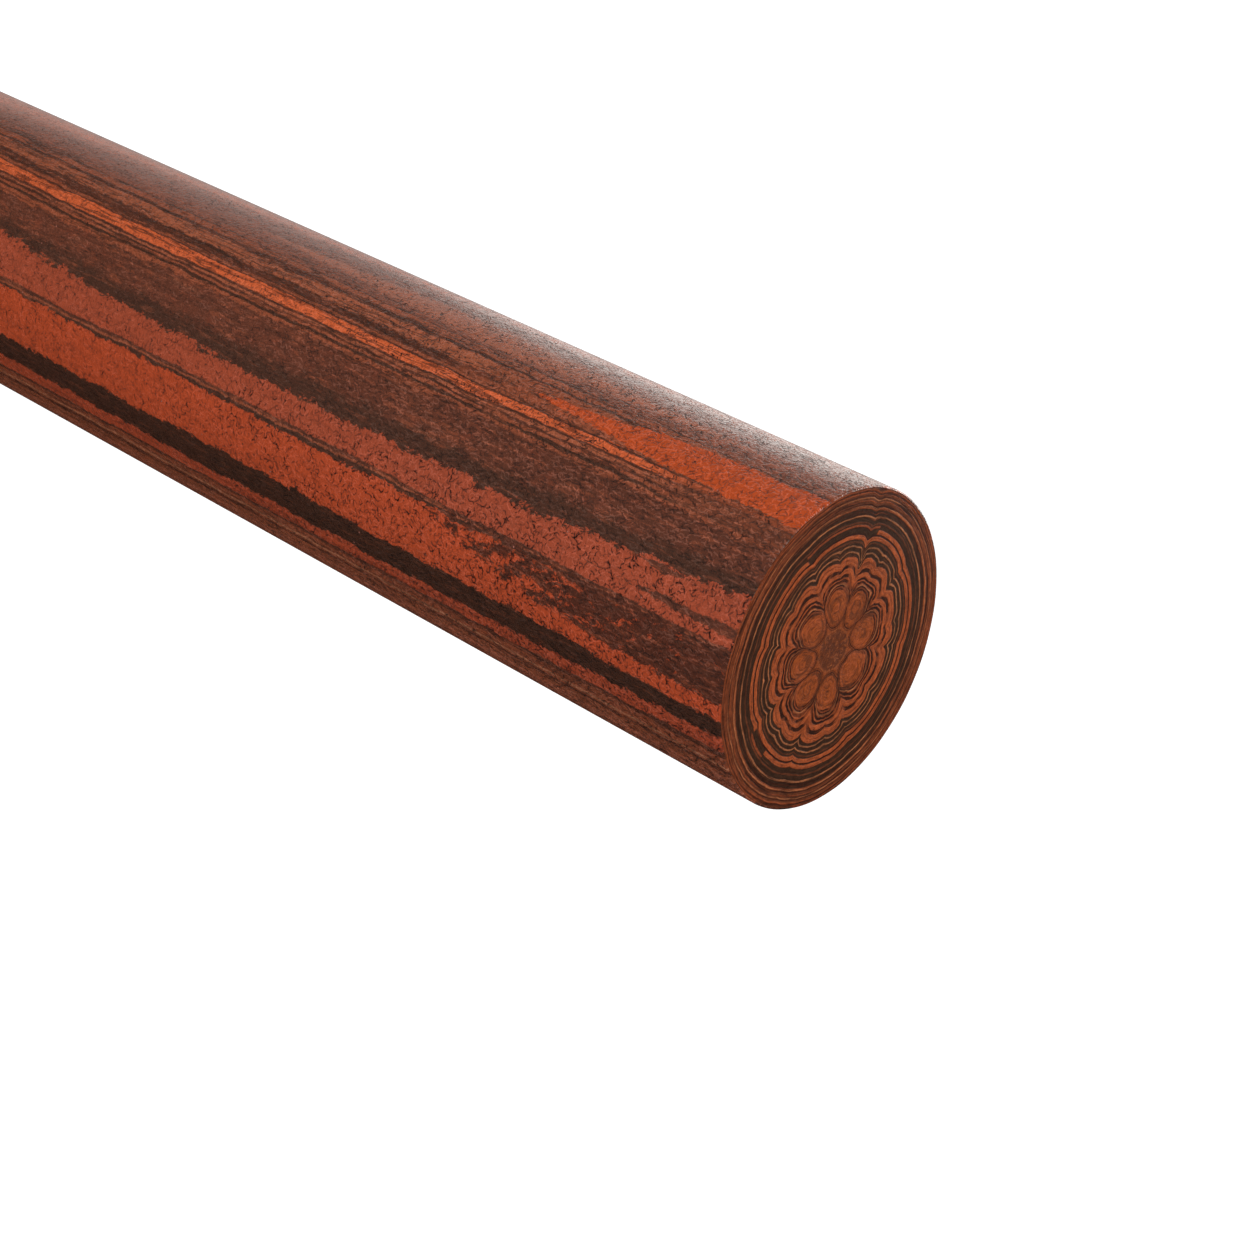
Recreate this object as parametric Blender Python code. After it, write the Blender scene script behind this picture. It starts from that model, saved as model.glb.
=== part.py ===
"""A length of round hard-rubber (ebonite) stock, standing on end on a level surface.

The rod is one piece, moulded and then ground round. Its axis is +Z, and the origin is the
centre of its lower end, which is square to the barrel. The upper end was sawn a little off
square: its face leans towards -X, so the rod is longest along its +X side. The sharp edge
round each end is lightly broken.
"""

import math

import bmesh
import bpy
from mathutils import Matrix, Vector

# Driving dimensions, in metres and radians
ROD_DIAMETER = 0.020
ROD_LENGTH = 0.150  # overall, along the longest side
EDGE_BREAK = 0.00012  # width of the rounded edge round each end
SAW_LEAN = math.radians(2.5)  # how far the upper cut is from square

# How finely the round forms are divided
BARREL_FACETS = 96
EDGE_STEPS = 2
SHARP_ANGLE = math.radians(30)  # shaded smooth below this angle between faces

# The finish of the whole piece, as seen from a distance
RUBBER_COLOUR = (0.130, 0.030, 0.014, 1.0)
RUBBER_ROUGHNESS = 0.42


def clear_scene():
    for obj in list(bpy.data.objects):
        bpy.data.objects.remove(obj, do_unlink=True)


def rubber_material():
    """Marbled red-brown hard rubber, ground to a satin finish."""
    material = bpy.data.materials.new("marbled_hard_rubber")
    material.use_nodes = True
    shader = material.node_tree.nodes["Principled BSDF"]
    shader.inputs["Base Color"].default_value = RUBBER_COLOUR
    shader.inputs["Roughness"].default_value = RUBBER_ROUGHNESS
    shader.inputs["Metallic"].default_value = 0.0
    return material


def raw_bar(mesh, radius, low, high):
    """The ground bar before it's cut to length. Its flats touch the true radius, one of them facing -Y."""
    half_step = math.pi / BARREL_FACETS
    middle = Matrix.Translation((0.0, 0.0, (low + high) / 2))
    bmesh.ops.create_cone(
        mesh,
        cap_ends=True,
        segments=BARREL_FACETS,
        radius1=radius / math.cos(half_step),
        radius2=radius / math.cos(half_step),
        depth=high - low,
        matrix=middle @ Matrix.Rotation(half_step, 4, "Z"),
    )


def saw(mesh, point, outward):
    """Takes off what lies outside a flat cut, closes the cut with one face and gives its rim."""
    whole = mesh.verts[:] + mesh.edges[:] + mesh.faces[:]
    cut = bmesh.ops.bisect_plane(
        mesh, geom=whole, plane_co=point, plane_no=outward, clear_outer=True
    )
    rim = [item for item in cut["geom_cut"] if isinstance(item, bmesh.types.BMEdge)]
    bmesh.ops.edgeloop_fill(mesh, edges=rim)
    return rim


def break_edges(mesh, rims):
    """Rounds the sharp edge round each sawn end."""
    bmesh.ops.bevel(
        mesh,
        geom=rims,
        offset=EDGE_BREAK,
        offset_type="OFFSET",
        segments=EDGE_STEPS,
        profile=0.5,
        affect="EDGES",
        clamp_overlap=True,
    )


def rod():
    """The whole piece: the bar, its two saw cuts and their broken edges."""
    radius = ROD_DIAMETER / 2
    upper_normal = Vector((-math.sin(SAW_LEAN), 0.0, math.cos(SAW_LEAN)))
    # The leaning cut crosses the axis lower than it crosses the longest side.
    upper_centre = Vector((0.0, 0.0, ROD_LENGTH - radius * math.tan(SAW_LEAN)))
    lower_normal = Vector((0.0, 0.0, -1.0))
    lower_centre = Vector((0.0, 0.0, 0.0))

    mesh = bmesh.new()
    # The bar starts out a diameter too long at each end, and the saw takes that off.
    raw_bar(mesh, radius, -ROD_DIAMETER, ROD_LENGTH + ROD_DIAMETER)
    lower_rim = saw(mesh, lower_centre, lower_normal)
    upper_rim = saw(mesh, upper_centre, upper_normal)
    break_edges(mesh, lower_rim + upper_rim)
    bmesh.ops.recalc_face_normals(mesh, faces=mesh.faces[:])

    data = bpy.data.meshes.new("rod")
    mesh.to_mesh(data)
    mesh.free()
    data.shade_smooth()
    data.set_sharp_from_angle(angle=SHARP_ANGLE)
    data.materials.append(rubber_material())
    obj = bpy.data.objects.new("rod", data)
    bpy.context.scene.collection.objects.link(obj)
    return obj


clear_scene()
rod()
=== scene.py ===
import math

import bpy
import numpy as np
from mathutils import Matrix, Vector


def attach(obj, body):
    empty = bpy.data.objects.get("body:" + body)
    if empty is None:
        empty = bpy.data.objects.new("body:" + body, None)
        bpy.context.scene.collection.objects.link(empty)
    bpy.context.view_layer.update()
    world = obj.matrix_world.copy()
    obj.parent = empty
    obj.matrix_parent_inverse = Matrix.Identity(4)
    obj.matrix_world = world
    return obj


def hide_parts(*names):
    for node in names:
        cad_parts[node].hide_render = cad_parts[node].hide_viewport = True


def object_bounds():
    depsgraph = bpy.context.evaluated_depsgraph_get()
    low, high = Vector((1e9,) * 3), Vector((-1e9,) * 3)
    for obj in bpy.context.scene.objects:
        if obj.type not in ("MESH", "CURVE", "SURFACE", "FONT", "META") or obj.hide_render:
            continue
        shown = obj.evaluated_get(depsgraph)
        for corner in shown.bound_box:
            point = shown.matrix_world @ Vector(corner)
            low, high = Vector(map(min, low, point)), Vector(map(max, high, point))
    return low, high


# Marbled hard-rubber rod, standing on its square end. The ground side and the sawn end are each a
# procedural material on one turned piece. Lengths are in metres, and in millimetres inside materials.

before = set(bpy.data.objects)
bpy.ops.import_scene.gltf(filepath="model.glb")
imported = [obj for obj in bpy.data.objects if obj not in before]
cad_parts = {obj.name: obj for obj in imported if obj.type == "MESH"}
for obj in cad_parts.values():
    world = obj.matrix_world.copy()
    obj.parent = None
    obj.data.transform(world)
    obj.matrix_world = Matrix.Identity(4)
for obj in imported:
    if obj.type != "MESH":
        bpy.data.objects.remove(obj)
cadLow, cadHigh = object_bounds()
print("frame loaded: rod is %.1f mm tall" % ((cadHigh - cadLow).z * 1000))


def linear(red, green, blue):
    # a colour as shown on screen, 0 to 255, as the linear values that a shader takes
    share = np.array([red, green, blue]) / 255
    light = np.where(share <= 0.04045, share / 12.92, ((share + 0.055) / 1.055) ** 2.4)
    return (float(light[0]), float(light[1]), float(light[2]), 1.0)


class Wire:
    # one socket of a material; arithmetic on it adds Math nodes
    def __init__(self, paint, socket):
        self.paint = paint
        self.socket = socket

    def __add__(self, other):
        return self.paint.calc("ADD", self, other)

    def __sub__(self, other):
        return self.paint.calc("SUBTRACT", self, other)

    def __rsub__(self, other):
        return self.paint.calc("SUBTRACT", other, self)

    def __mul__(self, other):
        return self.paint.calc("MULTIPLY", self, other)

    def __truediv__(self, other):
        return self.paint.calc("DIVIDE", self, other)

    def __pow__(self, other):
        return self.paint.calc("POWER", self, other)

    def __abs__(self):
        return self.paint.calc("ABSOLUTE", self)

    __radd__ = __add__
    __rmul__ = __mul__


class Paint:
    # a material's node tree, written as expressions
    def __init__(self, name):
        self.material = bpy.data.materials.new(name)
        self.material.use_nodes = True
        self.tree = self.material.node_tree
        self.tree.nodes.clear()

    def node(self, kind, settings=None, sockets=None, give=0):
        # settings go in first, then the sockets' values or links; give picks the output, or several
        made = self.tree.nodes.new("ShaderNode" + kind)
        for key, value in (settings or {}).items():
            if key == "stops":
                ramp = made.color_ramp
                while len(ramp.elements) < len(value):
                    ramp.elements.new(0.5)
                for element, (spot, shade) in zip(ramp.elements, value):
                    element.position = spot
                    element.color = shade
            else:
                setattr(made, key, value)
        for key, value in (sockets or {}).items():
            if isinstance(value, Wire):
                self.tree.links.new(value.socket, made.inputs[key])
            else:
                made.inputs[key].default_value = value
        if isinstance(give, tuple):
            return [Wire(self, made.outputs[name]) for name in give]
        return Wire(self, made.outputs[give])

    def calc(self, operation, *values):
        return self.node("Math", {"operation": operation}, dict(enumerate(values)))

    def vector(self, operation, *values):
        return self.node("VectorMath", {"operation": operation}, dict(enumerate(values)))

    def rise(self, value, low, high, most=1.0):
        # 0 below low, smoothly up to most above high
        return self.node("MapRange", {"interpolation_type": "SMOOTHSTEP"},
                         {"Value": value, "From Min": low, "From Max": high, "To Max": most})

    def mix(self, share, first, second, way="MIX"):
        settings = {"data_type": "RGBA", "blend_type": way, "clamp_factor": True}
        return self.node("Mix", settings, {0: share, 6: first, 7: second}, give=2)

    def between(self, value, low, high, soft):
        # 1 between low and high, with soft edges
        starts = self.rise(value, low - soft, low + soft)
        return starts * (1.0 - self.rise(value, high - soft, high + soft))

    def gain(self, colour, factor):
        return self.mix(1.0, colour, factor, "MULTIPLY")

    def noise(self, place, perMm, detail=2.0, rough=0.5, distort=0.0, seed=0.0):
        # smooth 3-D noise about 0, from -1 to 1; perMm is its frequency on each axis, and seed shifts it
        often = perMm if isinstance(perMm, tuple) else (perMm,) * 3
        shifted = self.vector("MULTIPLY_ADD", place, often, (seed * 7.3, seed * -4.1, seed * 5.7))
        found = self.node("TexNoise", {"noise_dimensions": "3D"},
                          {"Vector": shifted, "Scale": 1.0, "Detail": detail, "Roughness": rough,
                           "Distortion": distort})
        return self.calc("MULTIPLY_ADD", found, 2.0, -1.0)

    def strokes(self, across, along, perMm, seed, lay, shape):
        # One short bent stroke in each cell of a flat Voronoi pattern, 1 where it is pale and -1 where it
        # is dark. It lies at up to lay quarter turns from the second axis, and bows by a parabola.
        flat = {0: across * perMm + seed * 17.3, 1: along * perMm + seed * 9.1}
        where = self.node("CombineXYZ", None, flat)
        pattern = {"voronoi_dimensions": "2D", "feature": "F1"}
        cells = {"Vector": where, "Scale": 1.0, "Randomness": 1.0}
        middle, kind = self.node("TexVoronoi", pattern, cells, give=("Position", "Color"))
        spin, bow, tone = self.node("SeparateColor", None, {0: kind}, give=(0, 1, 2))
        away = self.vector("SUBTRACT", where, middle)
        right, up = self.node("SeparateXYZ", None, {0: away}, give=(0, 1))
        spin = (spin - 0.5) * lay * math.pi
        sine, cosine = self.calc("SINE", spin), self.calc("COSINE", spin)
        length = (right * sine + up * cosine) * (1 / perMm)
        width = (right * cosine - up * sine) * (1 / perMm)
        width = width + length * length * ((bow - 0.5) * shape["bend"])
        wide = 1.0 - self.rise(abs(width), shape["halfWide"] * 0.4, shape["halfWide"])
        long = 1.0 - self.rise(abs(length), shape["halfLong"] * 0.6, shape["halfLong"])
        return wide * long * (self.rise(tone, 0.48, 0.52, 2.0) - 1.0)

    def finish(self, surface):
        out = self.tree.nodes.new("ShaderNodeOutputMaterial")
        self.tree.links.new(surface.socket, out.inputs["Surface"])
        return self.material


rodCut = {
    "radius": (cadHigh.x - cadLow.x) / 2,
    "sawLean": math.radians(2.5),  # the upper face leans towards -X
    "edgeBreak": 0.00012,  # mean width of the rounded edge
    "edgeUneven": 0.3,  # share by which that width wanders round the rim
    "lobes": 0.000004,  # out-of-round left by the grinder
    "sides": 320,
    "faceRings": 12,
    "edgeRings": 5,
    "sideRings": 240,
    "crowding": 1.7,  # above 1, the rings crowd towards both ends
}


def rodPoints():
    # Rings carried round +Z. Each ring has a radius and a height. Rings of the upper face, its broken
    # edge and the side end on the leaning plane z = centre + x tan(lean). The broken edges are quarter
    # circles, and the side's rings lie between them at shares that crowd towards both ends.
    cut = rodCut
    around = np.linspace(0, 2 * np.pi, cut["sides"], endpoint=False)
    full = cut["radius"]
    tall = (cadHigh - cadLow).z
    plane = np.tan(cut["sawLean"])
    wander = np.sin(3 * around + 1.0) + 0.7 * np.sin(7 * around) + 0.6 * np.sin(19 * around + 2.0)
    broken = cut["edgeBreak"] * (1 + cut["edgeUneven"] * wander / 2.3)
    outer = full - cut["lobes"] * (1 + np.sin(5 * around))
    top = tall - full * plane + np.cos(around) * outer * plane

    faceShare = np.linspace(0, 1, cut["faceRings"] + 1)[1:, None]
    bend = np.linspace(0, np.pi / 2, cut["edgeRings"] + 1)[1:, None]
    along = np.linspace(-1, 1, cut["sideRings"] + 1)[1:-1, None]
    share = 0.5 - 0.5 * np.sign(along) * (1 - (1 - np.abs(along)) ** cut["crowding"])

    faceEdge = outer - broken
    upperFace = faceShare * faceEdge
    upperFaceHeight = tall - full * plane + np.cos(around) * upperFace * plane
    edgeRadius = faceEdge + broken * np.sin(bend)
    edgeDrop = broken * (1 - np.cos(bend))
    sideRadius = np.repeat(outer[None, :], len(share), 0)
    sideHeight = broken + (top - 2 * broken) * share

    radius = np.vstack([upperFace, edgeRadius, sideRadius, edgeRadius[::-1], upperFace[::-1]])
    height = np.vstack([upperFaceHeight, top - edgeDrop, sideHeight, edgeDrop[::-1], 0 * upperFace])
    points = np.dstack([radius * np.cos(around), radius * np.sin(around), height])
    upperPole = (0.0, 0.0, tall - full * plane)
    return points, upperPole, (0.0, 0.0, 0.0)


def skinFaces(rings, sides):
    # quads between neighbouring rings, and a fan of triangles to each pole, all facing outwards
    ring = np.arange(rings - 1)[:, None] * sides
    spot = np.arange(sides)[None, :]
    after = (spot + 1) % sides
    quads = np.dstack([ring + spot, ring + sides + spot, ring + sides + after, ring + after])
    spot, after = spot[0], after[0]
    last = (rings - 1) * sides
    upperFan = np.column_stack([np.full(sides, rings * sides), spot, after])
    lowerFan = np.column_stack([np.full(sides, rings * sides + 1), last + after, last + spot])
    return quads.reshape(-1, 4), upperFan, lowerFan


def makeRod(sideMaterial, endMaterial):
    points, upperPole, lowerPole = rodPoints()
    rings, sides = points.shape[:2]
    quads, upperFan, lowerFan = skinFaces(rings, sides)
    every = np.vstack([points.reshape(-1, 3), upperPole, lowerPole])
    mesh = bpy.data.meshes.new("marbled_rod")
    mesh.from_pydata(every.tolist(), [], quads.tolist() + upperFan.tolist() + lowerFan.tolist())
    faceQuads = rodCut["faceRings"] - 1
    endRows = np.zeros(rings - 1, bool)
    endRows[:faceQuads] = True
    endRows[-faceQuads:] = True
    slots = np.concatenate([np.repeat(endRows, sides), np.ones(2 * sides, bool)]).astype(np.int32)
    mesh.materials.append(sideMaterial)
    mesh.materials.append(endMaterial)
    mesh.polygons.foreach_set("material_index", slots)
    mesh.shade_smooth()
    mesh.update()
    rod = bpy.data.objects.new("marbled_rod", mesh)
    bpy.context.scene.collection.objects.link(rod)
    return rod


shades = {
    "orange": linear(178, 76, 38),
    "patchOrange": linear(163, 65, 27),
    "stripe": linear(180, 82, 44),
    "redOrange": linear(156, 62, 32),
    "rosy": linear(142, 63, 40),
    "rust": linear(148, 62, 37),
    # partly painted light: lightened for light thrown back onto the rod's +X side
    "clayBounceLit": linear(164, 90, 64),
    "brown": linear(96, 52, 36),
    # the next two are partly painted light: lightened for the light falling off by the rod's back edge
    "paleBrownEdgeLit": linear(180, 100, 74),
    "warmBrownEdgeLit": linear(146, 80, 58),
    "russet": linear(117, 62, 43),
    "cocoa": linear(92, 50, 36),
    "redBrown": linear(128, 66, 43),
    "lightRed": linear(140, 75, 50),
    "dusty": linear(168, 100, 84),
    "umber": linear(80, 44, 32),
    "plum": linear(72, 37, 26),
    "char": linear(66, 41, 31),
    "black": linear(56, 34, 25),
    "tan": linear(156, 96, 68),
    "pitBrown": linear(62, 30, 20),
}

sideLayers = [
    # (turn in degrees where the layer starts: at the sawn end, 35 mm below it and 70 mm below it), how far
    # its edge frays in degrees, how soft it is in degrees, its shade
    ((-180, -180, -180), 0, 1, "umber"),
    ((-164, -166, -165), 1.2, 0.3, "redOrange"),
    ((-147, -143, -146), 1.5, 0.3, "brown"),
    ((-128, -126, -127), 0.8, 0.3, "black"),
    ((-121, -122, -120), 0.8, 0.3, "orange"),
    ((-113, -115, -112), 0.9, 0.4, "brown"),
    # dusty, pale brown and warm brown by the back edge are partly the rod's colour and partly painted
    # light, lightened for light falling off there
    ((-95, -95, -95), 0.8, 1.2, "dusty"),
    ((-85.0, -84.6, -84.8), 0.2, 0.4, "russet"),
    ((-83.4, -83.2, -83.4), 0.2, 0.4, "dusty"),
    ((-79, -77, -77), 0.8, 2.0, "paleBrownEdgeLit"),
    ((-78, -73, -67), 0.8, 2.5, "warmBrownEdgeLit"),
    ((-73, -69, -61), 0.8, 3.0, "russet"),
    ((-47.6, -46.4, -46.0), 0.3, 0.25, "umber"),
    ((-47.0, -45.8, -45.2), 0.3, 0.25, "redBrown"),
    ((-44.0, -42.4, -42.2), 0.3, 0.25, "umber"),
    ((-43.0, -40.6, -40.6), 0.4, 0.3, "lightRed"),
    ((-36.0, -34.6, -35.2), 0.7, 0.4, "umber"),
    ((-32.4, -31.0, -31.0), 0.3, 0.25, "redBrown"),
    ((-31.4, -29.8, -29.8), 0.2, 0.2, "umber"),
    ((-30.6, -29.1, -29.1), 0.2, 0.2, "stripe"),
    ((-28.6, -24.6, -24.2), 0.2, 0.25, "umber"),
    ((-27.6, -23.6, -23.0), 0.2, 0.25, "lightRed"),
    ((-25.2, -22.4, -22.2), 0.3, 0.25, "umber"),
    ((-24.0, -21.4, -21.2), 0.3, 0.25, "redBrown"),
    ((-22.4, -20.4, -20.2), 0.3, 0.25, "char"),
    ((-20.8, -19.2, -19.0), 0.3, 0.25, "redBrown"),
    ((-19.0, -17.5, -16.5), 0.8, 0.5, "cocoa"),
    ((-9, -3.5, -6), 1.6, 2.5, "char"),
    ((-2.6, 4.6, -0.6), 1.5, 0.25, "rosy"),
    ((15, 15.0, 14.8), 0.3, 0.3, "umber"),
    ((15.9, 16.2, 16.2), 0.3, 0.3, "redBrown"),
    ((16.3, 16.9, 17.0), 0.3, 0.3, "char"),
    ((17.4, 18.6, 18.2), 0.9, 0.25, "redOrange"),
    ((40.5, 38.6, 39.2), 0.9, 0.3, "black"),
    ((46.6, 49.6, 50), 0.9, 0.3, "rust"),
    ((53, 55.2, 56), 0.4, 0.3, "umber"),
    ((55.6, 56.8, 57.5), 0.5, 0.8, "redBrown"),
    ((60.2, 60.4, 61), 0.2, 0.3, "tan"),
    ((61.4, 61.6, 62.0), 0.2, 0.3, "redBrown"),
    ((62.6, 62.8, 63.2), 0.3, 0.3, "umber"),
    # here by the +X edge the light red and clay layers are partly painted light, lighter for light thrown
    # back onto that side
    ((64.0, 64.2, 65.0), 0.5, 1.0, "lightRed"),
    ((69, 69.5, 70), 0.5, 1.5, "clayBounceLit"),
    ((86, 84, 86), 0.8, 1.0, "brown"),
    ((101, 103, 102), 1.0, 0.3, "black"),
    ((109, 112, 110), 1.0, 0.3, "redOrange"),
    ((124, 125, 126), 1.2, 0.3, "brown"),
    ((139, 137, 138), 0.3, 0.3, "orange"),
    ((143, 142, 143), 0.6, 0.3, "black"),
    ((148, 149, 147), 1.2, 0.3, "redBrown"),
    ((163, 161, 164), 1.0, 0.5, "umber"),
]

sideGrain = {
    "faceHeight": 149.56,  # mm, where the sawn face crosses the axis
    "shown": 70.0,  # mm over which the layers' three positions are spread
    "straightBelow": 1.5,  # times that length, below which the layers run straight
    "sway": 0.6,  # degrees by which all layers drift together
    "ripple": 1.2,  # degrees by which they waver over a few mm
    "fray": 3.4,  # makes each layer's fraying stronger
    # how strongly fine lines show at each turn from -180 to 180, as shares of the whole circle
    "lineZone": [(0.0, 0.5), (0.22, 0.5), (0.24, 0.15), (0.35, 0.25), (0.375, 1.0), (0.445, 1.0),
                 (0.46, 0.6), (0.49, 0.4), (0.51, 0.16), (0.63, 0.16), (0.655, 0.6), (1.0, 0.5)],
    "lines": 0.65,  # how strongly they show in all
    "mottle": 0.45,  # strength of the patches of a neighbouring shade
    # Shapes on top of the layers: the turn that each is centred on, its half width, and how much it
    # narrows in each mm, all in degrees. Where a depth in mm is given, it narrows to both sides of that.
    # Drift is how its middle moves in each mm, and pinch makes it narrow ever faster, by a cubic.
    "lightStreak": {"turn": -55.0, "halfWide": 7.0, "depth": 29.0, "taper": 0.30},
    "brightPatch": {"turn": -39.2, "drift": 0.14, "halfWide": 8.2, "taper": 0.10, "pinch": 0.088},
    "nearStreak": {"turn": 9.8, "halfWide": 1.9, "taper": 0.17},
    "island": {"turn": 0.9, "halfWide": 1.3, "depth": 6.0, "taper": 0.5},
    "darkPatch": {"start": 16.0, "end": 34.5, "taper": 0.1, "pinch": 0.0928},  # its end comes closer
    # mm below the sawn face over which each of these changes
    "streakGivesWay": (24.0, 29.0),
    "stripeFades": (4.0, 13.0),
    "brownDarkens": (12.0, 36.0),
    "marksThin": (15.0, 60.0),
    # the short bent strokes left by grinding, in mm, and how many sets of them there are to a mm
    "stroke": {"halfWide": 0.065, "halfLong": 0.32, "bend": 8.0},
    "strokeSets": (1.9, 2.3, 2.8),
    "paleStroke": 1.25,  # share by which a pale one lightens the colour
    "darkStroke": 1.1,
    "pits": 0.9,  # how much of a pit's own shade shows
    "bumpHeight": 0.000016,
}


def groundSide():
    # The layers are stripes in turn, the angle round the axis from -Y towards +X. Each edge is a quadratic
    # of the depth below the sawn face, then runs straight, and frays by noise drawn out along the axis.
    grain = sideGrain
    paint = Paint("ground_side")
    place = paint.vector("MULTIPLY", paint.node("TexCoord", give="Object"), (1000.0, 1000.0, 1000.0))
    x, y, z = paint.node("SeparateXYZ", None, {0: place}, give=(0, 1, 2))
    turn = paint.calc("ARCTAN2", x, y * -1.0) * (180 / math.pi)
    depth = grain["faceHeight"] - z
    share = paint.calc("SMOOTH_MIN", depth * (1 / grain["shown"]), grain["straightBelow"], 0.3)
    sway = paint.noise(place, (0.10, 0.10, 0.03), 2.0, seed=3.0)
    ripple = paint.noise(place, (0.8, 0.8, 0.45), 3.0, 0.5, seed=11.0)
    coarse = paint.noise(place, (0.8, 0.8, 0.35), 2.0, 0.5, 0.5, seed=4.0)
    fine = paint.noise(place, (2.6, 2.6, 1.5), 4.0, 0.7, 0.6, seed=5.0)
    fray = coarse * 0.6 + fine * 0.95
    along = turn + sway * grain["sway"] + ripple * grain["ripple"]

    colour = shades[sideLayers[0][3]]
    for (near, middle, far), frayed, soft, shade in sideLayers[1:]:
        steep = 2 * near + 2 * far - 4 * middle
        slope = 4 * middle - 3 * near - far
        edge = near
        if steep or slope:
            edge = (share * steep + slope) * share + near
        where = along - edge
        if frayed:
            where = where + fray * (frayed * grain["fray"])
        colour = paint.mix(paint.rise(where, -soft, soft), colour, shades[shade])

    # fine lines that follow the layers, broad ones and hair lines
    bent = along * (math.pi / 180)
    full = rodCut["radius"] * 1000
    ring = paint.node("CombineXYZ", None, {0: paint.calc("SINE", bent) * full,
                                          1: paint.calc("COSINE", bent) * full, 2: z})
    stops = [(spot, (level, level, level, 1.0)) for spot, level in grain["lineZone"]]
    zone = paint.node("ValToRGB", {"stops": stops}, {0: turn / 360 + 0.5}) * grain["lines"]
    line = paint.noise(ring, (3.0, 3.0, 0.12), 5.0, 0.65, seed=7.0)
    colour = paint.mix(zone * paint.rise(line, 0.05, 0.4), colour, shades["black"])
    colour = paint.mix(zone * paint.rise(line * -1.0, 0.15, 0.6) * 0.7, colour, shades["tan"])
    hair = paint.noise(ring, (2.0, 2.0, 0.10), 3.0, 0.6, seed=8.0)
    colour = paint.mix(zone * paint.rise(0.07 - abs(hair), 0.0, 0.03), colour, shades["black"])

    # the brown layer is darker by the sawn end
    darkEnd = 1.0 - paint.rise(depth, *grain["brownDarkens"])
    darkEnd = darkEnd * paint.between(along, -19.0, -9.0, 1.5)
    colour = paint.mix(darkEnd * 0.5, colour, shades["umber"])

    # a long light streak by the back edge
    spot = grain["lightStreak"]
    halfWide = spot["halfWide"] - abs(depth - spot["depth"]) * spot["taper"]
    light = paint.rise(halfWide - abs(along - spot["turn"]) + fray * 2.0, -1.5, 1.5)
    colour = paint.mix(light, colour, shades["lightRed"])

    # by the sawn end, the dark streak on the left gives way to red-brown, and the bright stripe fades
    loose = 1.0 - paint.rise(depth + coarse * 6.0, *grain["streakGivesWay"])
    colour = paint.mix(loose * paint.between(along + fray, -41.5, -31.6, 0.4), colour, shades["redBrown"])
    faded = 1.0 - paint.rise(depth + coarse * 5.0, *grain["stripeFades"], 0.75)
    faded = (faded - 0.25) * paint.between(along, -31.0, -20.0, 0.5)
    colour = paint.mix(faded, colour, shades["brown"])

    # dark strands by the bright patch, and the patch itself, which tapers away down the rod
    strand = loose * paint.between(along + fray * 2.0, -40.0, -33.0, 1.0) * paint.rise(line, 0.0, 0.25)
    colour = paint.mix(strand, colour, shades["char"])
    spot = grain["brightPatch"]
    halfWide = spot["halfWide"] - depth * spot["taper"] - (depth * spot["pinch"]) ** 3.0
    strands = line * paint.rise(depth, 9.0, 16.0, 7.0)
    aside = abs(along - spot["turn"] - depth * spot["drift"])
    patch = paint.rise(halfWide - aside + fray * 3.0 + strands, -0.3, 0.3)
    colour = paint.mix(patch, colour, shades["patchOrange"])

    # the dark mottled patch on the right, which breaks up down the rod
    blotch = paint.noise(place, (1.5, 1.5, 0.8), 5.0, 0.75, 0.8, seed=21.0)
    spot = grain["darkPatch"]
    lower = spot["end"] - depth * spot["taper"] - (depth * spot["pinch"]) ** 3.0
    inside = paint.calc("MINIMUM", along - spot["start"], lower - along)
    inside = paint.rise(inside + fray * 4.5, -0.3, 0.3)
    solid = paint.rise(blotch - depth * 0.016, -0.40, -0.22)
    colour = paint.mix(inside * solid, colour, shades["plum"])

    # dark streaks in the rosy band by the sawn end
    spot = grain["nearStreak"]
    halfWide = spot["halfWide"] - abs(along - spot["turn"]) - depth * spot["taper"]
    colour = paint.mix(paint.rise(halfWide + fray * 2.5, 0.0, 0.4) * 0.85, colour, shades["char"])
    spot = grain["island"]
    island = spot["halfWide"] - abs(along - spot["turn"]) - abs(depth - spot["depth"]) * spot["taper"]
    colour = paint.mix(paint.rise(island + fray * 2.0, 0.0, 0.4) * 0.85, colour, shades["char"])

    # patches and short streaks of a neighbouring shade
    red = paint.node("SeparateColor", None, {0: colour}, give=0)
    bright = paint.rise(red, 0.05, 0.28)
    plain = paint.rise(red, 0.04, 0.08, 0.65) + 0.35
    mottle = paint.noise(ring, (1.6, 1.6, 0.9), 5.0, 0.7, 0.3, seed=31.0)
    darker = paint.rise(mottle, 0.0, 0.45) * (1.0 - bright * 0.6) * grain["mottle"]
    colour = paint.mix(darker, colour, shades["char"])
    redder = paint.rise(mottle * -1.0, 0.0, 0.5) * (0.25 + bright * 0.25) * grain["mottle"] * plain
    colour = paint.mix(redder, colour, shades["redOrange"])
    streak = paint.noise(ring, (3.6, 3.6, 0.45), 3.0, 0.65, 0.4, seed=41.0)
    dull = (1.0 - bright) * plain
    colour = paint.mix(paint.rise(streak, 0.05, 0.3) * dull * 0.5, colour, shades["redBrown"])
    colour = paint.mix(paint.rise(streak * -1.0, 0.05, 0.3) * dull * 0.8, colour, shades["umber"])

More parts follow.
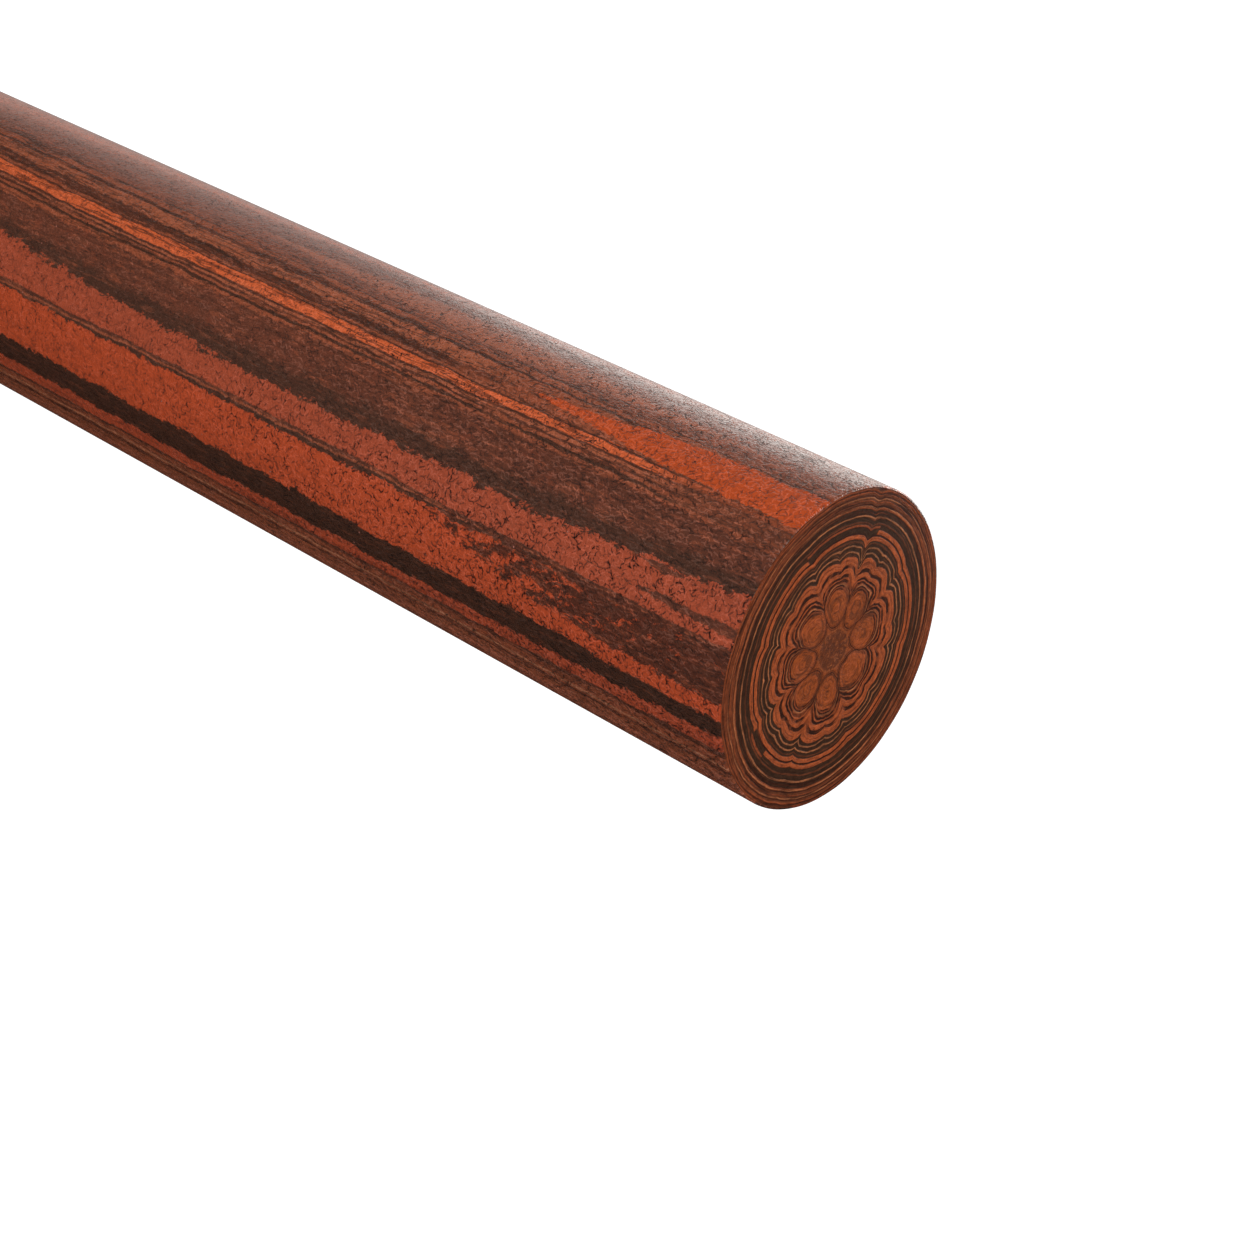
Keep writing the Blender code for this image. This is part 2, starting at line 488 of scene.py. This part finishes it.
    # short bent strokes left by grinding, which lie along the rod where it is brown, and fine grit. The
    # strokes break up the shine too, being rougher.
    dense = paint.rise(paint.noise(place, 0.9, 2.0, seed=14.0), -0.45, 0.15, 0.6) + 0.4
    lay = 0.4 + bright * 0.6
    across = turn * (math.pi / 180 * full)
    marks = 0.0
    for index, perMm in enumerate(grain["strokeSets"]):
        marks = paint.strokes(across, z, perMm, index + 1.0, lay, grain["stroke"]) * 0.6 + marks
    marks = marks * dense * (1.0 - paint.rise(depth, *grain["marksThin"], 0.45))
    grit = paint.noise(place, 6.0, 2.0, 0.7, seed=17.0)
    pale = paint.calc("MINIMUM", paint.calc("MAXIMUM", marks, 0.0), 0.9)
    pale = pale * (1.0 - bright * 0.6) * plain
    dark = paint.calc("MAXIMUM", paint.calc("MINIMUM", marks, 0.0), -0.8)
    dark = dark * (0.5 + bright * 0.5 - patch * 0.35)
    tone = 1.0 + pale * grain["paleStroke"] + dark * grain["darkStroke"] + grit * 0.3
    colour = paint.gain(colour, tone)

    # pits, a few of them filled with pale dust
    cells = {"Vector": place, "Scale": 1.35, "Randomness": 1.0}
    pitField, pitColour = paint.node("TexVoronoi", {"feature": "F1"}, cells, give=("Distance", "Color"))
    pitKind = paint.node("SeparateColor", None, {0: pitColour})
    pit = paint.rise(pitField * -1.0, -0.105, -0.065) * paint.rise(pitKind, 0.3, 0.4)
    dusty = paint.rise(pitField * -1.0, -0.10, -0.06) * paint.rise(pitKind, 0.93, 0.94)
    colour = paint.mix(pit * grain["pits"], colour, shades["pitBrown"])
    colour = paint.mix(dusty * 0.8, colour, shades["dusty"])

    peel = abs(paint.noise(place, (0.9, 0.9, 1.9), 1.0, 0.5, 0.8, seed=51.0))
    relief = marks * 1.1 - pit * 1.2 + grit * 0.1 + line * 0.2 + peel * 2.2
    bump = paint.node("Bump", None, {"Strength": 1.0, "Distance": grain["bumpHeight"], "Height": relief})
    rough = 0.22 + paint.rise(abs(marks), 0.1, 0.6, 0.3) + pit * 0.3 + abs(line) * 0.06
    surface = paint.node("BsdfPrincipled", None, {
        "Base Color": colour, "Roughness": rough, "Normal": bump, "IOR": 1.5})
    return paint.finish(surface)


flower = {
    "radius": rodCut["radius"] * 1000,
    # turn in degrees, counted from +X towards +Y, of the creases between the eight petals
    "creases": [7.1, 51.7, 106.7, 151.7, 193.3, 235.8, 282.9, 323.3],
    # smaller creases, which only show in the layers further out
    "smallCreases": [32.5, 79.0, 123.0, 175.4, 214.0, 260.0, 303.0, 342.5],
    # one crease runs on towards the rim; it fades over these degrees aside from its turn
    "deepCrease": {"turn": -166.7, "fades": (-3.0, 5.0)},
    # turns between which the outer orange line is missing
    "gaps": ((-173.0, -122.0), (-34.0, -17.0)),
    # The rest is in shares of the rod's radius. A layer dips by this much at a crease, and by less further
    # out: each row has the radii between which the dip shrinks, and how much it loses.
    "dip": 0.115,
    "dipFalls": ((0.30, 0.50, 0.05), (0.50, 0.62, 0.032), (0.60, 0.82, 0.026)),
    "layerSoft": 0.0025,  # blur at a layer's edge
    "heart": 0.13,
    "petalMiddle": 0.278,
    "petalReach": 0.124,
    "ovalPower": 2.6,  # 2 makes the petals ellipses, and more makes them squarer
    "outlines": ((1.0, 0.9), (0.9, 0.4), (1.11, 0.6)),  # shares of a petal, and how dark each line is
    "bumpHeight": 0.00002,
}

# Where each layer starts on a petal's axis, as a share of the rod's radius, and its shade. Three shades
# are mixed in sawnEnd: lens pinches out by the creases, and outer and thin change places in the gaps.
endLayers = [
    (0.385, "lens"), (0.396, "faceRust"), (0.405, "lens"), (0.415, "faceTan"),
    (0.424, "faceRust"), (0.431, "lens"), (0.448, "faceOrange"), (0.457, "lens"),
    (0.474, "faceOrange"), (0.506, "lens"), (0.530, "faceOrange"), (0.556, "faceRust"),
    (0.563, "faceOrange"), (0.582, "faceBlack"), (0.603, "faceTan"), (0.612, "faceBlack"),
    (0.636, "faceTan"), (0.645, "faceBlack"), (0.662, "faceBrown"), (0.671, "faceBlack"),
    (0.682, "faceOrange"), (0.708, "faceDark"), (0.720, "outer"), (0.746, "faceBlack"),
    (0.757, "thin"), (0.771, "faceBlack"), (0.778, "faceBrown"), (0.788, "faceBlack"),
    (0.818, "faceTan"), (0.829, "faceBlack"), (0.845, "faceRed"), (0.853, "faceBlack"),
    (0.867, "faceRust"), (0.874, "faceTan"), (0.884, "faceRed"), (0.894, "faceBrown"),
    (0.908, "faceRust"), (0.915, "faceBrown"), (0.926, "faceTan"), (0.934, "faceRed"),
    (0.944, "faceBrown"), (0.955, "faceRust"), (0.963, "faceRed"), (0.974, "faceRust"),
    (0.983, "faceBrown"), (0.992, "faceRed"),
]

shades.update({
    "faceOrange": linear(168, 80, 40),
    "faceFill": linear(153, 72, 30),
    "faceRust": linear(138, 65, 33),
    "faceRed": linear(72, 33, 18),
    "faceBrown": linear(98, 50, 28),
    "faceBlack": linear(61, 37, 23),
    "faceDark": linear(56, 26, 14),
    "faceTan": linear(182, 108, 66),
})


def creaseRamp(paint, angle, creases):
    # 1 at each crease and 0 half way between two, from a ramp over the whole circle
    white, black = (1, 1, 1, 1), (0, 0, 0, 1)
    spots = []
    for first, second in zip(creases, creases[1:] + [creases[0] + 360]):
        spots.append((first / 360, white))
        spots.append(((first + second) / 720, black))
    shift = -min(spot for spot, shade in spots)
    stops = [(spot + shift, shade) for spot, shade in spots] + [(1.0, white)]
    turned = paint.calc("FRACT", angle / 360 + shift)
    return paint.node("ValToRGB", {"stops": stops}, {0: turned})


def sawnEnd():
    # A layer that stands at radius r on a petal's axis dips by depth(r) |d|^power(r) towards the crease,
    # where d is 0 on the axis and 1 at the crease: round domes by the petals, and flatter ones further
    # out. Petals are ovals in (r, d), a little squarer than ellipses.
    paint = Paint("sawn_end")
    size = flower["radius"]
    place = paint.vector("MULTIPLY", paint.node("TexCoord", give="Object"), (1000.0, 1000.0, 1000.0))
    x, y = paint.node("SeparateXYZ", None, {0: place}, give=(0, 1))
    sway = paint.noise(place, 0.45, 2.0, seed=2.0)
    swirl = paint.noise(place, 0.6, 3.0, 0.6, seed=9.0)
    fray = paint.noise(place, 2.2, 4.0, 0.65, seed=4.0)
    plainReach = paint.calc("SQRT", x * x + y * y) / size
    unrest = 1.0 - paint.rise(plainReach, 0.5, 0.75, 0.6)  # the outer layers run truer than the inner ones
    reach = plainReach + (sway * 0.022 + fray * 0.009) * unrest
    angle = paint.calc("ARCTAN2", y, x) * (180 / math.pi) + swirl * 6.0 * unrest
    crease = creaseRamp(paint, angle, flower["creases"])
    small = creaseRamp(paint, angle, flower["smallCreases"])

    dip = flower["dip"]
    for low, high, less in flower["dipFalls"]:
        dip = dip - paint.rise(reach, low, high, less)
    power = 1.8 + paint.rise(reach, 0.34, 0.54, 2.2)
    smallDip = paint.rise(reach, 0.40, 0.52, 0.030) * (1.0 - paint.rise(reach, 0.58, 0.68))
    level = reach + dip * crease ** power + smallDip * small ** 5.0
    deep = flower["deepCrease"]
    notch = 1.0 - paint.rise(abs(angle - deep["turn"]), *deep["fades"])
    level = level + notch * (paint.rise(reach, 0.44, 0.54, 0.058) - paint.rise(reach, 0.58, 0.68, 0.038))

    # pale lines come and go round the rod, and so do the dark layers next to the petals, which pinch out
    # towards the creases
    fade = paint.rise(paint.noise(place, 0.5, 3.0, 0.6, seed=12.0), -0.35, 0.35)
    lens = paint.noise(place, 0.7, 2.0, 0.6, seed=19.0) + fray * 0.4
    lens = paint.rise(lens, -0.30, -0.05, 0.85) + 0.15
    lens = lens * (1.0 - paint.rise(crease + fray * 0.2, 0.86, 1.0))
    # the outer orange line has two gaps, where a thin rusty one runs further out
    gap = 0.0
    for first, last in flower["gaps"]:
        gap = paint.between(angle, first, last, 0.6) + gap
    special = {
        "lens": paint.mix(lens, shades["faceRust"], shades["faceDark"]),
        "outer": paint.mix(gap, shades["faceOrange"], shades["faceBlack"]),
        "thin": paint.mix(gap, shades["faceBlack"], shades["faceRust"]),
    }
    colour = shades["faceFill"]
    for start, shade in endLayers:
        here = paint.rise(level, start - flower["layerSoft"], start + flower["layerSoft"])
        if shade == "faceTan":
            here = here * (fade * 0.6 + 0.4)
        colour = paint.mix(here, colour, special.get(shade) or shades[shade])
    # the outer rings are rustier on two sides
    rusty = paint.calc("SINE", (angle - 60.0) * (math.pi / 90)) * 0.5 + 0.5
    colour = paint.mix(rusty * paint.rise(level, 0.84, 0.93, 0.45), colour, shades["faceRust"])

    # hair lines and streaks that follow the layers
    across, up = x / (plainReach + 0.05), y / (plainReach + 0.05)
    fan = paint.node("CombineXYZ", None, {0: across * 0.2, 1: up * 0.2, 2: level * 60.0})
    hair = paint.noise(fan, 1.0, 3.0, 0.6, seed=15.0)
    outward = paint.rise(level, 0.74, 0.86, 0.6) + 0.8 - paint.rise(level, 0.17, 0.24, 0.4)
    colour = paint.mix(paint.rise(hair, 0.0, 0.35) * outward, colour, shades["faceDark"])
    colour = paint.mix(paint.rise(hair * -1.0, 0.15, 0.45, 0.55) * outward, colour, shades["faceOrange"])
    fan = paint.node("CombineXYZ", None, {0: across * 1.4, 1: up * 1.4, 2: level * 105.0})
    streak = paint.noise(fan, 1.0, 3.0, 0.7, seed=25.0)

    # uneven rings inside each petal, and its double outline
    inwards = abs(reach - flower["petalMiddle"]) / flower["petalReach"]
    squarer = flower["ovalPower"]
    oval = (inwards ** squarer + crease ** squarer) ** (1 / squarer)
    inner = 1.0 - paint.rise(reach, 0.37, 0.395)
    petal = inner * (1.0 - paint.rise(oval, 0.9, 1.0))
    shell = paint.node("CombineXYZ", None, {0: x * 0.45, 1: y * 0.45, 2: oval * 4.5})
    rings = paint.noise(shell, 1.0, 2.0, 0.65, seed=16.0)
    colour = paint.mix(petal * paint.rise(rings, 0.08, 0.22, 0.7), colour, shades["faceBrown"])
    colour = paint.mix(petal * paint.rise(rings * -1.0, 0.05, 0.25, 0.9), colour, shades["faceOrange"])
    for around, strength in flower["outlines"]:
        outline = 1.0 - paint.rise(abs(oval - around + fray * 0.03), 0.02, 0.06)
        colour = paint.mix(outline * inner * strength, colour, shades["faceDark"])

    # the heart, finely mottled, with a pale outline
    heartBlotch = paint.noise(place, 3.4, 4.0, 0.7, 0.8, seed=6.0)
    heart = 1.0 - paint.rise(reach, flower["heart"] - 0.01, flower["heart"] + 0.01)
    colour = paint.mix(heart * paint.rise(heartBlotch, -0.35, 0.1, 0.9), colour, shades["faceBrown"])
    colour = paint.mix(heart * paint.rise(heartBlotch, 0.1, 0.35, 0.6), colour, shades["faceDark"])
    colour = paint.mix(heart * paint.rise(heartBlotch * -1.0, 0.1, 0.3, 0.4), colour, shades["faceTan"])
    heartRim = 1.0 - paint.rise(abs(reach - flower["heart"] - 0.005), 0.003, 0.009)
    colour = paint.mix(heartRim * 0.15, colour, shades["faceTan"])

    grainField = paint.noise(place, 4.5, 3.0, 0.65, 0.8, seed=8.0)
    colour = paint.gain(colour, 1.0 + streak * 1.1 + grainField * 0.6)
    bright = paint.node("SeparateColor", None, {0: colour}, give=0)
    relief = grainField * 0.4 + streak * 0.5 + bright * 4.0
    bump = paint.node("Bump", None, {"Strength": 1.0, "Distance": flower["bumpHeight"], "Height": relief})
    surface = paint.node("BsdfPrincipled", None, {
        "Base Color": colour, "Roughness": 0.6 + grainField * 0.08, "Normal": bump, "IOR": 1.5,
        "Specular IOR Level": 0.05})
    return paint.finish(surface)


rod = makeRod(groundSide(), sawnEnd())
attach(rod, "root")
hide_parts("rod")
print("rod made: %d faces" % len(rod.data.polygons))


studio = {
    "floorSize": 3.0,
    "floorShade": (0.8, 0.8, 0.8, 1.0),
    "worldLevel": 0.48,
    "floorGlow": 0.62,
    "keyPlace": Vector((-0.16, -0.86, 0.62)),
    "keyAim": Vector((0, 0, 0.12)),
    "keySize": 0.5,
    "keyPower": 7.9,
    "tentReach": 0.9,  # radius of the black tent
    "tentTall": 1.4,
    # the glowing card on the floor: degrees from -X towards +Y at which it is brightest and at which it
    # ends, and the distances over which its glow grows a little and over which it falls
    "cardFull": (25, 35),
    "cardEnds": (-15, 105),
    "cardStep": (62, 76, 0.32),  # degrees between which its left part falls, and by how much
    "cardGlow": 0.62,
    "cardNear": (0.055, 0.085),
    "cardFar": (0.13, 0.25),
    "boxSide": 132,  # degrees from +X towards +Y of the soft box
    "boxAway": 0.127,
    "boxWide": 0.092,
    "boxTall": 0.215,
    "boxGlow": (1.52, 2.15),  # at its foot and half way up
    "boxTint": (1.0, 0.97, 0.93, 1.0),
    "boxCrown": 9.0,  # added above the rod, where only the rod's broken edge mirrors it
}


def placeMesh(name, corners, faces, material):
    mesh = bpy.data.meshes.new(name)
    mesh.from_pydata([tuple(corner) for corner in corners], [], faces)
    mesh.materials.append(material)
    piece = bpy.data.objects.new(name, mesh)
    bpy.context.scene.collection.objects.link(piece)
    return piece


def onlyInShine(piece):
    piece.visible_camera = False
    piece.visible_diffuse = False
    piece.visible_transmission = False
    piece.visible_shadow = False


def paleFloor():
    # a plain pale floor, which the camera and reflections see as white, less the rod's shadow
    paint = Paint("pale_floor")
    rays = ("Is Camera Ray", "Is Glossy Ray", "Is Transmission Ray")
    camera, glossy, transmission = paint.node("LightPath", give=rays)
    seen = paint.calc("MAXIMUM", paint.calc("MAXIMUM", camera, glossy), transmission)
    plain = paint.node("BsdfDiffuse", None, {"Color": studio["floorShade"]})
    white = {"Color": (1.0, 1.0, 1.0, 1.0), "Strength": seen * studio["floorGlow"]}
    glow = paint.node("Emission", None, white)
    material = paint.finish(paint.node("AddShader", None, {0: plain, 1: glow}))
    half = studio["floorSize"] / 2
    corners = [(-half, -half, 0), (half, -half, 0), (half, half, 0), (-half, half, 0)]
    floor = placeMesh("floor", corners, [(0, 1, 2, 3)], material)
    floor.location.z = -0.00002  # just below the rod's lower face


def arc(radius, height):
    turns = np.radians(np.linspace(0, 360, 48, endpoint=False))
    return [(radius * math.cos(turn), radius * math.sin(turn), height) for turn in turns]


def blackTent():
    # A black tent keeps the rod's shine dark. Only reflections see it.
    paint = Paint("black_card")
    black = paint.finish(paint.node("BsdfDiffuse", None, {"Color": (0.0, 0.0, 0.0, 1.0)}))
    low, high = arc(studio["tentReach"], 0.0), arc(studio["tentReach"], studio["tentTall"])
    count = len(low)
    wall = [(spot, (spot + 1) % count, count + (spot + 1) % count, count + spot) for spot in range(count)]
    lid = [tuple(range(count, 2 * count))]
    onlyInShine(placeMesh("black_tent", low + high, wall + lid, black))


def floorCard():
    # The card that the tent stands on is black, and at the back left it glows, a light that only
    # reflections see, a little brighter further from the rod and then falling off.
    paint = Paint("floor_card")
    x, y = paint.node("SeparateXYZ", None, {0: paint.node("TexCoord", give="Object")}, give=(0, 1))
    side = paint.calc("ARCTAN2", y, x * -1.0) * (180 / math.pi)
    away = paint.calc("SQRT", x * x + y * y)
    rightEnd, leftEnd = studio["cardEnds"]
    rightFull, leftFull = studio["cardFull"]
    glow = paint.rise(side, rightEnd, rightFull, studio["cardGlow"])
    glow = glow * (1.0 - paint.rise(side, leftFull, 80.0, 0.12)) * (1.0 - paint.rise(side, 80.0, leftEnd))
    glow = glow * (1.0 - paint.rise(side, *studio["cardStep"]))
    glow = glow * (0.86 + paint.rise(away, *studio["cardNear"], 0.14))
    glow = glow * (1.0 - paint.rise(away, *studio["cardFar"], 0.7))
    card = paint.finish(paint.node("Emission", None, {"Color": studio["boxTint"], "Strength": glow}))
    rim = arc(studio["tentReach"], 0.00005)
    onlyInShine(placeMesh("floor_card", rim, [tuple(range(len(rim)))], card))


def softBox():
    # a soft box at the back left, a little brighter upwards, with a bright crown
    paint = Paint("soft_box")
    place = paint.node("TexCoord", give="Object")
    height = paint.node("SeparateXYZ", sockets={0: place}, give=2)
    foot, top = studio["boxGlow"]
    high = studio["boxTall"]
    strength = paint.rise(height, 0.01, 0.07, top - foot) + foot
    strength = strength + paint.rise(height, 0.165, 0.18, studio["boxCrown"])
    glow = paint.finish(paint.node("Emission", None, {"Color": studio["boxTint"], "Strength": strength}))
    half = studio["boxWide"] / 2
    corners = [(0, -half, 0.0002), (0, half, 0.0002), (0, half, high), (0, -half, high)]
    box = placeMesh("soft_box", corners, [(0, 1, 2, 3)], glow)
    side = math.radians(studio["boxSide"])
    box.location = (studio["boxAway"] * math.cos(side), studio["boxAway"] * math.sin(side), 0.0)
    box.rotation_euler.z = side
    onlyInShine(box)


def studioLight():
    world = bpy.data.worlds.new("studio")
    world.use_nodes = True
    bpy.context.scene.world = world
    nodes, links = world.node_tree.nodes, world.node_tree.links
    nodes.clear()
    path = nodes.new("ShaderNodeLightPath")
    seen = path.outputs["Is Camera Ray"]
    for kind in ("Glossy", "Transmission"):
        either = nodes.new("ShaderNodeMath")
        either.operation = "MAXIMUM"
        links.new(seen, either.inputs[0])
        links.new(path.outputs["Is %s Ray" % kind], either.inputs[1])
        seen = either.outputs[0]
    level = nodes.new("ShaderNodeMapRange")
    level.inputs["To Min"].default_value = studio["worldLevel"]
    level.inputs["To Max"].default_value = 1.0
    links.new(seen, level.inputs["Value"])
    sky = nodes.new("ShaderNodeBackground")
    sky.inputs["Color"].default_value = (1.0, 1.0, 1.0, 1.0)
    links.new(level.outputs[0], sky.inputs["Strength"])
    out = nodes.new("ShaderNodeOutputWorld")
    links.new(sky.outputs[0], out.inputs["Surface"])

    data = bpy.data.lights.new("key", "AREA")
    data.size = studio["keySize"]
    data.energy = studio["keyPower"]
    lamp = bpy.data.objects.new("key", data)
    lamp.location = studio["keyPlace"]
    aim = studio["keyAim"] - lamp.location
    lamp.rotation_mode = "QUATERNION"
    lamp.rotation_quaternion = aim.to_track_quat("-Z", "Y")
    lamp.visible_glossy = False
    bpy.context.scene.collection.objects.link(lamp)


paleFloor()
blackTent()
floorCard()
softBox()
studioLight()
print("studio lit")


photoView = {
    "lens": 76.08,  # mm on a 36 mm sensor
    "back": 0.13087,  # m in front of the rod's axis
    "up": 0.08164,  # m above the middle of the sawn face
    "azimuth": -1.906,  # degrees
    "elevation": 36.141,
    "roll": 117.665,
}


def aimCamera():
    view = photoView
    data = bpy.data.cameras.new("photo_view")
    data.lens = view["lens"]
    data.sensor_width = 36.0
    camera = bpy.data.objects.new("photo_view", data)
    faceMiddle = (cadHigh - cadLow).z - rodCut["radius"] * math.tan(rodCut["sawLean"])
    turned = (Matrix.Rotation(math.radians(view["azimuth"]), 4, "Z")
              @ Matrix.Rotation(math.radians(90 - view["elevation"]), 4, "X")
              @ Matrix.Rotation(math.radians(view["roll"]), 4, "Z"))
    camera.matrix_world = Matrix.Translation((0, -view["back"], faceMiddle + view["up"])) @ turned
    bpy.context.scene.collection.objects.link(camera)
    bpy.context.scene.camera = camera


aimCamera()
bpy.context.scene.view_settings.view_transform = "Standard"
